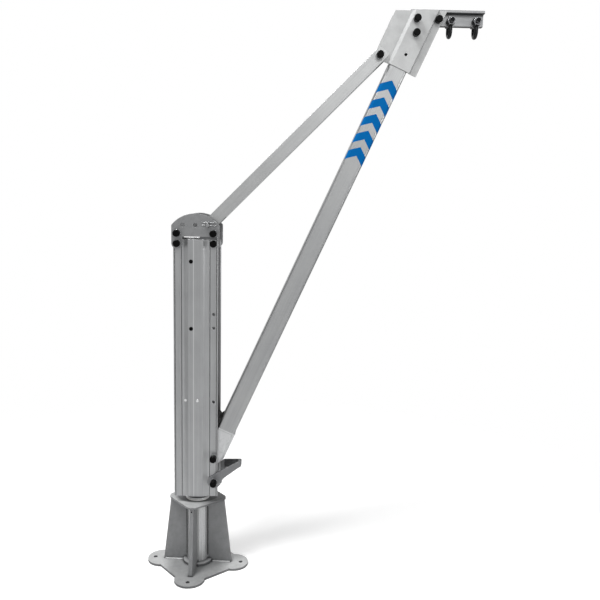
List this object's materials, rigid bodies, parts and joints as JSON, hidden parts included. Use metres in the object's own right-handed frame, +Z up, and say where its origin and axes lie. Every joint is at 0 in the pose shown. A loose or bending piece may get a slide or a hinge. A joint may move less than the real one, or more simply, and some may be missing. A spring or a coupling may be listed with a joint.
{
  "type": "davit crane",
  "caption": "Davit crane: gusseted floor socket, slewing mast of open profile, leaning boom held by a pinned tie, and shackles under a short level arm at its head.",
  "frame": {"origin": "on the floor under the mast's axis, at the underside of the floor plate", "axes": "+Z up the mast, +X the way the boom leans, +Y to the back"},
  "size_m": [1.3214, 0.4346, 2.293],
  "materials": {
    "base_steel": "satin grey coating",
    "gusset_steel": "satin grey coating",
    "tube_steel": "satin grey coating",
    "weld": "coated weld",
    "liner_plastic": "matt, natural white",
    "bronze": "turned bearing bronze",
    "spigot_steel": "turned",
    "mast_aluminium": "extruded, satin anodised",
    "boom_aluminium": "extruded, satin anodised",
    "tie_aluminium": "extruded, satin anodised",
    "foot_aluminium": "machined",
    "arm_aluminium": "extruded",
    "shell_aluminium": "pressed plate, satin",
    "head_plate_aluminium": "cut plate, matt",
    "block_aluminium": "machined",
    "lever_aluminium": "bent plate, matt",
    "zinc_steel": "zinc plated",
    "bright_steel": "bright",
    "spring_wire": "bright spring wire",
    "black_plastic": "black moulded",
    "buffer_rubber": "black",
    "shackle_steel": "forged, dark"
  },
  "bodies": {
    "base": {"base_plate": "base_steel", "foot_ring": "base_steel", "socket_tube": "tube_steel", "gussets": "gusset_steel", "weld_beads": "weld", "top_plate": "base_steel", "socket_liner": "liner_plastic", "thrust_washer": "spigot_steel"},
    "mast": {"mast_spigot": "spigot_steel", "mast_profile": "mast_aluminium", "mast_screws": "bright_steel", "mast_plugs": "black_plastic", "head_plate_front": "head_plate_aluminium", "head_plate_back": "head_plate_aluminium", "head_block_left": "block_aluminium", "head_block_right": "block_aluminium", "head_bolts": "zinc_steel", "boom_pivot_bolt": "zinc_steel", "lever_bolt": "zinc_steel", "mast_nuts": "zinc_steel", "mast_washers": "zinc_steel", "mast_caps": "black_plastic", "boom_buffer": "buffer_rubber", "release_pin": "bright_steel"},
    "clip": {"pin_clip": "spring_wire"},
    "lever": {"foot_lever": "lever_aluminium"},
    "boom": {"boom_foot": "foot_aluminium", "pivot_bushes": "bronze", "boom_tube": "boom_aluminium", "head_shell_front": "shell_aluminium", "head_shell_back": "shell_aluminium", "shell_bolts": "zinc_steel", "tie_bolt": "zinc_steel", "tie_spacer": "zinc_steel", "boom_nuts": "zinc_steel", "boom_washers": "zinc_steel", "boom_caps": "black_plastic", "arm_beam": "arm_aluminium", "arm_spacers": "zinc_steel"},
    "tie": {"tie_bar": "tie_aluminium"},
    "shackle_inner": {"shackle_bow_inner": "shackle_steel", "shackle_pin_inner": "shackle_steel", "shackle_nut_inner": "shackle_steel"},
    "shackle_outer": {"shackle_bow_outer": "shackle_steel", "shackle_pin_outer": "shackle_steel", "shackle_nut_outer": "shackle_steel"}
  },
  "joints": [
    {"name": "mast_slew", "type": "hinge", "parent": "base", "child": "mast", "pos_m": [0, 0, 0.3], "axis": [0, 0, 1], "continuous": true},
    {"name": "boom_fold", "type": "hinge", "parent": "mast", "child": "boom", "pos_m": [0.073, 0, 0.4944], "axis": [0, 1, 0], "range_deg": [0, 55]},
    {"name": "tie_fold", "type": "hinge", "parent": "boom", "child": "tie", "pos_m": [0.70581, 0, 2.1185], "axis": [0, 1, 0], "range_deg": [-11.5, 0]},
    {"name": "clip_pull", "type": "slide", "parent": "mast", "child": "clip", "axis": [1, 0, 0], "range_m": [0, 0.045]},
    {"name": "lever_press", "type": "hinge", "parent": "mast", "child": "lever", "pos_m": [0.075, 0, 0.391], "axis": [0, 1, 0], "range_deg": [0, 30]},
    {"name": "shackle_swing_inner", "type": "hinge", "parent": "boom", "child": "shackle_inner", "pos_m": [0.97708, 0, 2.25497], "axis": [0, 1, 0], "range_deg": [-50, 50]},
    {"name": "shackle_swing_outer", "type": "hinge", "parent": "boom", "child": "shackle_outer", "pos_m": [1.07708, 0, 2.25497], "axis": [0, 1, 0], "range_deg": [-50, 50]}
  ],
  "couplings": [
    {"joint": "tie_fold", "follows": "boom_fold", "ratio": -0.2}
  ]
}
